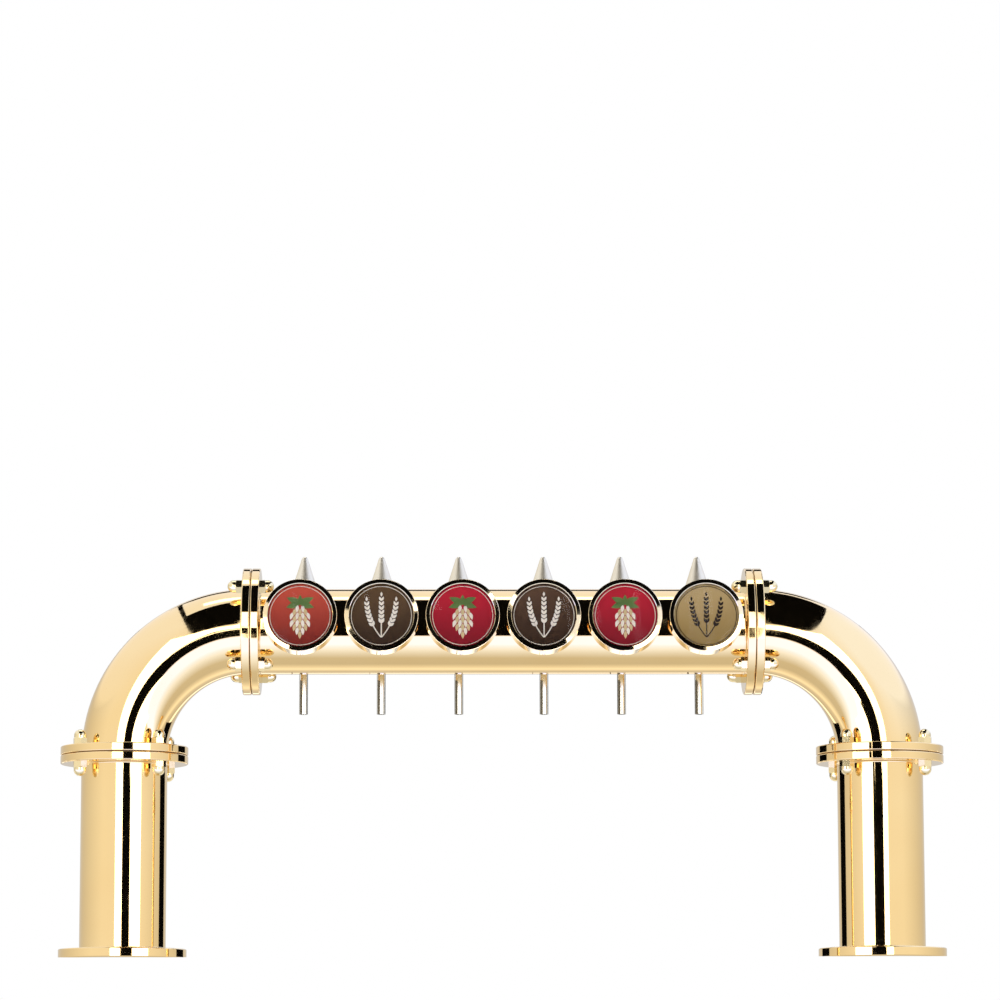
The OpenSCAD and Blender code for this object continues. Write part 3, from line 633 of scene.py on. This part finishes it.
def motif_tree():
    """Geometry Nodes: sets one flat shape on each point, by its turn and length, as one mesh in one ink."""
    tree = bpy.data.node_groups.new("print_motif", "GeometryNodeTree")
    for name, kind in (("Points", "NodeSocketGeometry"), ("Shape", "NodeSocketObject"),
                       ("Print height", "NodeSocketFloat"), ("Ink", "NodeSocketMaterial")):
        tree.interface.new_socket(name, in_out="INPUT", socket_type=kind)
    tree.interface.new_socket("Print", in_out="OUTPUT", socket_type="NodeSocketGeometry")
    given = add(tree, "NodeGroupInput")
    turn = add(tree, "GeometryNodeInputNamedAttribute", {"Name": "turn"}, data_type="FLOAT")
    length = add(tree, "GeometryNodeInputNamedAttribute", {"Name": "length"}, data_type="FLOAT")
    angles = add(tree, "ShaderNodeCombineXYZ", {"Z": turn.outputs["Attribute"]})
    rotation = add(tree, "FunctionNodeEulerToRotation", {"Euler": angles.outputs["Vector"]})
    scale = add(tree, "ShaderNodeCombineXYZ", {
        "X": length.outputs["Attribute"], "Y": length.outputs["Attribute"],
        "Z": given.outputs["Print height"]})
    shape = add(tree, "GeometryNodeObjectInfo", {"Object": given.outputs["Shape"], "As Instance": True})
    placed = add(tree, "GeometryNodeInstanceOnPoints", {
        "Points": given.outputs["Points"], "Instance": shape.outputs["Geometry"],
        "Rotation": rotation.outputs["Rotation"], "Scale": scale.outputs["Vector"]})
    whole = add(tree, "GeometryNodeRealizeInstances", {"Geometry": placed.outputs["Instances"]})
    inked = add(tree, "GeometryNodeSetMaterial", {
        "Geometry": whole.outputs["Geometry"], "Material": given.outputs["Ink"]})
    add(tree, "NodeGroupOutput", {"Print": inked.outputs["Geometry"]})
    return tree


def print_shapes(tree, name, marks, shape, ink, place):
    """Prints marks, each a point with a turn and a length in the plate's own plane, in their place."""
    points = bpy.data.meshes.new(name)
    points.from_pydata([(x, y, 0) for x, y, _, _ in marks], [], [])
    for label, column in (("turn", 2), ("length", 3)):
        values = points.attributes.new(label, "FLOAT", "POINT")
        values.data.foreach_set("value", [mark[column] for mark in marks])
    carrier = bpy.data.objects.new(name, points)
    bpy.context.scene.collection.objects.link(carrier)
    modifier = carrier.modifiers.new("print_motif", "NODES")
    modifier.node_group = tree
    given = {item.name: item.identifier for item in tree.interface.items_tree if item.in_out == "INPUT"}
    modifier[given["Shape"]] = shape
    modifier[given["Print height"]] = settings().sizes.print_height
    modifier[given["Ink"]] = ink
    graph = bpy.context.evaluated_depsgraph_get()
    mesh = bpy.data.meshes.new_from_object(carrier.evaluated_get(graph), depsgraph=graph)
    carrier.modifiers.remove(modifier)
    carrier.data = mesh
    mesh.name = name
    mesh.transform(place)
    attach(carrier, TOWER)
    return carrier


def barley_ear(root, tip, bow):
    """Marks of an ear of barley from root to tip: pairs of grains, one at the tip, and a stalk. bow is how
    far its middle stands aside."""
    sizes = settings().sizes
    root, tip = Vector(root), Vector(tip)
    way = tip - root
    side = Vector((-way.y, way.x)).normalized()
    lowest, taper, spread = 0.34, 0.03, radians(27)
    stalk_share, stalk_steps, overlap = 0.4, 14, 2.4

    def spot(t):
        return root + t * way + 4 * bow * t * (1 - t) * side

    def lean(slope):
        return -Vector((0, 1)).angle_signed(slope)

    marks = []
    pairs = sizes.grain_pairs
    for k in range(pairs + 1):
        t = lowest + (1 - lowest) * k / pairs
        place = spot(t)
        turn = lean(way + 4 * bow * (1 - 2 * t) * side)
        length = sizes.grain_length * (1 - taper * k)
        turns = (turn,) if k == pairs else (turn - spread, turn + spread)
        marks += [(place.x, place.y, angle, length) for angle in turns]
    stalk = [spot(stalk_share * i / stalk_steps) for i in range(stalk_steps + 1)]
    for here, there in zip(stalk, stalk[1:]):
        step = there - here
        marks.append((here.x, here.y, lean(step), overlap * step.length))
    return marks


def barley_sheaf():
    """Marks of three ears of barley that fan out from one root."""
    root, middle_tip = (0, -23 * MM), (0, 20 * MM)
    out, up, bow = 15 * MM, 15 * MM, 3.5 * MM
    ears = (((-out, up), bow), (middle_tip, 0), ((out, up), -bow))
    return [mark for tip, bend in ears for mark in barley_ear(root, tip, bend)]


def hop_cone(first):
    """Marks of every second row of a hop cone, whose staggered bracts point down and spread a little."""
    bracts = (2, 3, 4, 3, 4, 3, 2, 1)
    top, row_gap, bract_gap, length = 11 * MM, 3.9 * MM, 5 * MM, 8 * MM
    spread = radians(2.2) / MM
    marks = []
    for row in range(first, len(bracts), 2):
        for k in range(bracts[row]):
            x = (k - (bracts[row] - 1) / 2) * bract_gap
            marks.append((x, top - row * row_gap, pi + spread * x, length))
    return marks


def hop_leaves():
    """Marks of two pairs of leaves beside the top of a hop cone, and of a small one that points up."""
    root, length = 13 * MM, 15 * MM
    small_root, small_length = 11 * MM, 11 * MM
    leaves = [(0, root, radians(a), length) for a in (-108, -66, 66, 108)]
    return [*leaves, (0, small_root, 0, small_length)]


def plate_place(n):
    """Matrix from a plate's own plane, x to the guest's right and y up, to its printed face."""
    sizes = settings().sizes
    turn = Matrix.Rotation(pi / 2 - sizes.medallion_tilt, 4, "X")
    face = box_middle(f"medallion_plate_{n}") + turn.to_3x3() @ Vector((0, 0, sizes.plate_thickness / 2))
    return Matrix.Translation(face) @ turn


class TOWER_OT_medallions(bpy.types.Operator):
    """Finish the medallions, braze their bosses and print a plain brewing emblem on each plate"""
    bl_idname = "beer_tower.medallions"
    bl_label = "Medallions"

    def execute(self, context):
        sizes, colours = settings().sizes, settings().colours
        pale = gold_plate("gold_plated_brass_flashed", colours.pale_gold, colours.gold)
        finish_nodes(["medallion_cups", "medallion_bezels"], pale)
        finish_nodes(["medallion_lenses"], clear_acrylic())
        for n, (upper, lower, _, _) in zip(TAPS, PLATES):
            finish_nodes([f"medallion_plate_{n}"], printed_plate(n, upper, lower))
        bar = box_middle("bar_tube")
        places = [Vector((box_middle(f"medallion_plate_{n}").x, 0, bar.z)) for n in TAPS]
        to_guest = -pi / 2 + sizes.medallion_tilt
        boss_r = sizes.medallion_boss / 2
        new_piece("medallion_boss_seams", lambda bm: boss_seams(bm, places, boss_r, to_guest),
                  gold())
        self.prints()
        return {"FINISHED"}

    def prints(self):
        """An emblem and a ring on each plate, in thin raised ink."""
        colours = settings().colours
        inks = {}
        for name in ("cream", "straw", "leaf", "umber"):
            inks[name] = print_ink(name, tuple(getattr(colours, name)))
        tree = motif_tree()
        grain = leaf_shape("grain", 10, 1.0)
        bract = leaf_shape("bract", 8, 0.8)
        for n, (_, _, emblem, ink_name) in zip(TAPS, PLATES):
            place = plate_place(n)
            main_ink = inks[ink_name]
            if emblem == "barley":
                layers = [("barley_print", barley_sheaf(), grain, main_ink)]
            else:
                layers = [("hop_print", hop_cone(0), bract, main_ink),
                          ("hop_shade_print", hop_cone(1), bract, inks["straw"]),
                          ("hop_leaf_print", hop_leaves(), bract, inks["leaf"])]
            for label, marks, shape, ink in layers:
                piece = print_shapes(tree, f"{label}_{n}", marks, shape, ink, place)
            new_piece(f"ring_print_{n}", lambda bm: flat_ring(bm, place), main_ink)
        for shape in (grain, bract):
            bpy.data.objects.remove(shape)


def flat_ring(bm, place):
    """A flat printed ring on a plate."""
    sizes = settings().sizes
    inner = sizes.ring_radius - sizes.ring_width / 2
    outer = sizes.ring_radius + sizes.ring_width / 2
    section = [(inner, 0), (outer, 0), (outer, sizes.print_height), (inner, sizes.print_height)]
    loops = []
    for a in around(RING_STEPS):
        loops.append([bm.verts.new(place @ Vector((r * cos(a), r * sin(a), z))) for r, z in section])
    for i in range(RING_STEPS):
        here, there = loops[i - 1], loops[i]
        for k in range(len(section)):
            bm.faces.new((here[k], there[k], there[k - 3], here[k - 3]))


def floor_paint():
    """Matt white paint with faint clouds, open to a camera that looks up from under it. The metal sees a
    painted glow in
    its place: painted light in front and in two bands behind, a painted shadow under the bar, and an end
    before the guest as a table."""
    colours = settings().colours
    material, tree = new_material("pale_floor_paint_and_glow")
    place = add(tree, "ShaderNodeTexCoord").outputs["Object"]
    cloud = add(tree, "ShaderNodeTexNoise", {"Vector": place, "Scale": 1 / (500 * MM), "Detail": 2.0})
    tint = add(tree, "ShaderNodeMix", {
        "Factor": cloud.outputs["Fac"], "A": opaque(colours.floor), "B": opaque(colours.floor_shade)},
        data_type="RGBA")
    paint = add(tree, "ShaderNodeBsdfPrincipled", {
        "Base Color": tint.outputs["Result"], "Roughness": 0.8, "Specular IOR Level": 0.0})
    run = add(tree, "ShaderNodeSeparateXYZ", {"Vector": place})
    front, back, strength = -0.5, 1.0, 3.0
    share = add(tree, "ShaderNodeMapRange", {
        "Value": run.outputs["Y"], "From Min": front, "From Max": back})
    ramp = add(tree, "ShaderNodeValToRGB", {"Fac": share.outputs["Result"]})
    stops = ramp.color_ramp.elements
    while len(stops) < len(FLOOR_GLOW_IN_METAL):
        stops.new(0.5)
    for stop, (spot, level) in zip(stops, FLOOR_GLOW_IN_METAL):
        stop.position = (spot - front) / (back - front)
        stop.color = opaque([c / strength for c in level])
    # Painted light and shadow: an emission ramp by Y, seen only in the metal, in place of the lit floor.
    painted_glow = add(tree, "ShaderNodeEmission", {"Color": ramp.outputs["Color"], "Strength": strength})
    unseen = add(tree, "ShaderNodeBsdfTransparent")
    table_end, table_full = -1.12, -0.95
    reach = add(tree, "ShaderNodeMapRange", {
        "Value": run.outputs["Y"], "From Min": table_end, "From Max": table_full})
    table = add(tree, "ShaderNodeMixShader", {
        0: reach.outputs["Result"], 1: unseen.outputs["BSDF"], 2: painted_glow.outputs["Emission"]})
    path = add(tree, "ShaderNodeLightPath")
    in_metal = add(tree, "ShaderNodeMath", {
        0: path.outputs["Is Glossy Ray"], 1: path.outputs["Is Singular Ray"]},
        operation="SUBTRACT", use_clamp=True)
    shown = add(tree, "ShaderNodeMixShader", {
        0: in_metal.outputs["Value"], 1: paint.outputs["BSDF"], 2: table.outputs["Shader"]})
    side = add(tree, "ShaderNodeNewGeometry")
    mix = add(tree, "ShaderNodeMixShader", {
        0: side.outputs["Backfacing"], 1: shown.outputs["Shader"], 2: unseen.outputs["BSDF"]})
    add(tree, "ShaderNodeOutputMaterial", {"Surface": mix.outputs["Shader"]})
    return material


def card(name, corners, material):
    """A flat studio card that the camera doesn't see and that casts no shadow."""
    mesh = bpy.data.meshes.new(name)
    mesh.from_pydata([Vector(c) for c in corners], [], [tuple(range(len(corners)))])
    mesh.materials.append(material)
    obj = bpy.data.objects.new(name, mesh)
    bpy.context.scene.collection.objects.link(obj)
    obj.visible_camera = False
    obj.visible_shadow = False
    return obj


def upright(start, end, low, high):
    """Corners of an upright card over the line on the floor from start to end."""
    return [(*start, low), (*end, low), (*end, high), (*start, high)]


def area_lamp(name, shape, width, height, level, place, aim):
    """An evenly bright area lamp that the camera doesn't see."""
    data = bpy.data.lights.new(name, "AREA")
    data.shape = shape
    data.size, data.size_y = width, height
    area = width * height * (pi / 4 if shape == "DISK" else 1)
    data.energy = level * pi * area
    lamp = bpy.data.objects.new(name, data)
    lamp.location = place
    lamp.rotation_euler = aim.to_track_quat("-Z", "Y").to_euler()
    lamp.visible_camera = False
    bpy.context.scene.collection.objects.link(lamp)
    return lamp


class TOWER_OT_stage(bpy.types.Operator):
    """Set up the camera, the white room, the floor, the lamps and the cards"""
    bl_idname = "beer_tower.stage"
    bl_label = "Stage"

    def execute(self, context):
        context.scene.view_settings.view_transform = "Standard"
        self.camera(context)
        self.room(context)
        self.floor(context)
        self.lamps()
        self.cards()
        return {"FINISHED"}

    def camera(self, context):
        """The camera of the photo, low in front of the tower."""
        studio = settings().studio
        data = bpy.data.cameras.new("photo_camera")
        data.lens = studio.camera_lens
        data.sensor_width = 36
        camera = bpy.data.objects.new("photo_camera", data)
        camera.location = studio.camera_place
        camera.rotation_euler = (pi / 2 + studio.camera_pitch, studio.camera_roll, -studio.camera_yaw)
        context.scene.collection.objects.link(camera)
        context.scene.camera = camera

    def room(self, context):
        """White for the camera, and an even light on matt surfaces. The metal and the lenses see a white tent
        that is dimmer at the back near the floor, and the metal a cool glare above and on the right."""
        studio = settings().studio
        world = bpy.data.worlds.new("white_room")
        context.scene.world = world
        world.use_nodes = True
        tree = world.node_tree
        tree.nodes.clear()
        way = add(tree, "ShaderNodeSeparateXYZ", {
            "Vector": add(tree, "ShaderNodeTexCoord").outputs["Generated"]})
        back = add(tree, "ShaderNodeMapRange", {
            "Value": way.outputs["Y"], "From Min": -0.6, "From Max": 0.7,
            "To Min": 0.0, "To Max": studio.tent_dim})
        rise = add(tree, "ShaderNodeMapRange", {
            "Value": way.outputs["Z"], "From Min": 0.05, "From Max": 0.4})
        right = add(tree, "ShaderNodeMapRange", {
            "Value": way.outputs["X"], "From Min": 0.0, "From Max": 0.5})
        lift = add(tree, "ShaderNodeMapRange", {
            "Value": way.outputs["Z"], "From Min": 0.25, "From Max": 0.75, "To Max": 0.45})
        hot = add(tree, "ShaderNodeMath", {
            0: rise.outputs["Result"], 1: right.outputs["Result"]}, operation="MULTIPLY")
        hot = add(tree, "ShaderNodeMath", {
            0: hot.outputs["Value"], 1: lift.outputs["Result"]}, operation="MAXIMUM")
        near = add(tree, "ShaderNodeMath", {0: 1.0, 1: back.outputs["Result"]}, operation="SUBTRACT")
        tent = add(tree, "ShaderNodeMath", {
            0: near.outputs["Value"], 1: rise.outputs["Result"]}, operation="MAXIMUM")
        path = add(tree, "ShaderNodeLightPath")
        mirrored = add(tree, "ShaderNodeMath", {
            0: path.outputs["Is Glossy Ray"], 1: path.outputs["Is Transmission Ray"]}, operation="MAXIMUM")
        unscattered = add(tree, "ShaderNodeMath", {
            0: path.outputs["Diffuse Depth"], 1: 0.5}, operation="LESS_THAN")
        mirrored = add(tree, "ShaderNodeMath", {
            0: mirrored.outputs["Value"], 1: unscattered.outputs["Value"]}, operation="MULTIPLY")
        level = add(tree, "ShaderNodeMix", {
            "Factor": mirrored.outputs["Value"], "A": studio.room_level, "B": tent.outputs["Value"]})
        level = add(tree, "ShaderNodeMix", {
            "Factor": path.outputs["Is Camera Ray"], "A": level.outputs["Result"], "B": 1.0})
        glare = add(tree, "ShaderNodeMath", {
            0: path.outputs["Is Singular Ray"], 1: 0.5}, operation="LESS_THAN")
        glare = add(tree, "ShaderNodeMath", {
            0: glare.outputs["Value"], 1: mirrored.outputs["Value"]}, operation="MULTIPLY")
        glare = add(tree, "ShaderNodeMath", {
            0: glare.outputs["Value"], 1: hot.outputs["Value"]}, operation="MULTIPLY")
        tint = add(tree, "ShaderNodeMix", {
            "Factor": glare.outputs["Value"], "A": (1.0, 1.0, 1.0, 1.0), "B": opaque(studio.glare)},
            data_type="RGBA")
        room = add(tree, "ShaderNodeBackground", {
            "Color": tint.outputs["Result"], "Strength": level.outputs["Result"]})
        add(tree, "ShaderNodeOutputWorld", {"Surface": room.outputs["Background"]})

    def floor(self, context):
        """A large pale floor just under the tower's feet."""
        half, drop = 6.0, -0.5 * MM
        corners = [(x * half, y * half, drop) for x, y in ((-1, -1), (1, -1), (1, 1), (-1, 1))]
        mesh = bpy.data.meshes.new("floor")
        mesh.from_pydata(corners, [], [(0, 1, 2, 3)])
        mesh.materials.append(floor_paint())
        floor = bpy.data.objects.new("floor", mesh)
        context.scene.collection.objects.link(floor)

    def lamps(self):
        """Two tall softboxes, left and right of the camera, that close in towards it and show only in shiny
        surfaces, and a round lamp that lights only matt ones."""
        studio = settings().studio
        low, high = -0.45, 0.74
        for side, near, far in (("left", LEFT_NEAR, LEFT_FAR), ("right", RIGHT_NEAR, RIGHT_FAR)):
            run = Vector(far) - Vector(near)
            middle = (Vector(near) + Vector(far)) / 2
            inward = Vector((-run.y, run.x, 0)).normalized()
            if inward.dot(middle.to_3d()) > 0:
                inward = -inward
            softbox = area_lamp(f"{side}_softbox", "RECTANGLE", run.length, high - low, studio.softbox_level,
                                (middle.x, middle.y, (low + high) / 2), inward)
            softbox.visible_diffuse = False
        size = 1.8
        place, target = Vector((-0.9, -2.2, 2.6)), Vector((0, 0, 0.2))
        fill = area_lamp("fill", "DISK", size, size, studio.fill_level, place, target - place)
        fill.visible_glossy = False
        fill.visible_transmission = False

    def cards(self):
        """Black flags that draw the dark lines in the metal, grey flags for the dark edge of the spouts,
        bright strips and a bright panel overhead, and the counter's white edge."""
        black = felt("black_felt", settings().colours.black_felt)
        side_start = (-0.375, -1.65)
        flags = [
            card("gap_flag", upright(LEFT_FAR, RIGHT_FAR, -0.3, ROOF), black),
            card("side_flag", upright(side_start, LEFT_FAR, 0.0, 0.5), black),
            card("medallion_flag", upright((-0.27, -0.57), (0.15, -0.57), 0.37, 0.56), black),
            card("roof_flag", [(*spot, ROOF) for spot in ROOF_OUTLINE], black),
            card("rear_flag", upright((-1.0, 2.0), (1.0, 2.0), 1.5, 2.15), black)]
        for name, x in (("left_rear_stand", -0.46), ("right_rear_stand", 0.46)):
            flags.append(card(name, upright((x, 0.39), (x, 1.16), 0.0, 0.45), black))
        flags += self.spout_flags()
        for flag in flags:
            flag.visible_diffuse = False
        panel = light_panel()
        strip_y, strip_low, strip_high = -2.09, 0.36, 1.5
        for name, start, end in (("left_strip", -0.395, -0.33), ("right_strip", 0.335, 0.44)):
            card(name, upright((start, strip_y), (end, strip_y), strip_low, strip_high), panel)
        card("overhead_panel", [(-0.9, 0.0, ROOF), (0.5, 0.0, ROOF), (0.5, 0.36, ROOF), (-0.9, 0.36, ROOF)],
             panel)
        self.counter_edge()

    def spout_flags(self):
        """A small grey flag on the left of each spout, under the bar."""
        grey = felt("grey_felt", settings().colours.grey_felt)
        gap, width = 12 * MM, 26 * MM
        back = box_middle("spouts").y
        low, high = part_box("spouts")[0].z - 3 * MM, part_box("bar_tube")[0].z + 2 * MM
        flags = []
        for n in TAPS:
            x = box_middle(f"tap_body_{n}").x - gap
            flags.append(card(f"spout_flag_{n}", upright((x, back - width), (x, back), low, high), grey))
        return flags

    def counter_edge(self):
        """The front edge of the counter, which hides the undersides of the feet from a low camera."""
        half, low, high = 0.6, -30 * MM, -0.6 * MM
        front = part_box("left_base_flange")[0].y - 1 * MM
        edge = card("counter_edge", upright((-half, front), (half, front), low, high), white_edge())
        edge.visible_camera = True
        edge.visible_glossy = False
        edge.visible_diffuse = False


class TOWER_PT_panel(bpy.types.Panel):
    """Sizes, colours and steps of the tower"""
    bl_idname = "TOWER_PT_panel"
    bl_label = "Bridge Beer Tower"
    bl_space_type = "VIEW_3D"
    bl_region_type = "UI"
    bl_category = "Beer Tower"

    def draw(self, context):
        tower = settings()
        for title, group in (("Sizes", tower.sizes), ("Colours", tower.colours), ("Studio", tower.studio)):
            part = self.layout.box()
            part.label(text=title)
            for name in group.bl_rna.properties.keys():
                if name not in ("rna_type", "name"):
                    part.prop(group, name)
        for step in STEPS:
            self.layout.operator(step.bl_idname)


STEPS = (TOWER_OT_stage, TOWER_OT_tubes, TOWER_OT_taps, TOWER_OT_lines, TOWER_OT_medallions)
CLASSES = (TowerSizes, TowerColours, TowerStudio, TowerSettings, *STEPS, TOWER_PT_panel)


def register():
    for cls in CLASSES:
        bpy.utils.register_class(cls)
    bpy.types.Scene.beer_tower = PointerProperty(type=TowerSettings)


def unregister():
    del bpy.types.Scene.beer_tower
    for cls in reversed(CLASSES):
        bpy.utils.unregister_class(cls)


def main():
    register()
    bpy.ops.beer_tower.stage()
    bpy.ops.beer_tower.tubes()
    bpy.ops.beer_tower.taps()
    bpy.ops.beer_tower.lines()
    bpy.ops.beer_tower.medallions()


if __name__ == "__main__":
    main()
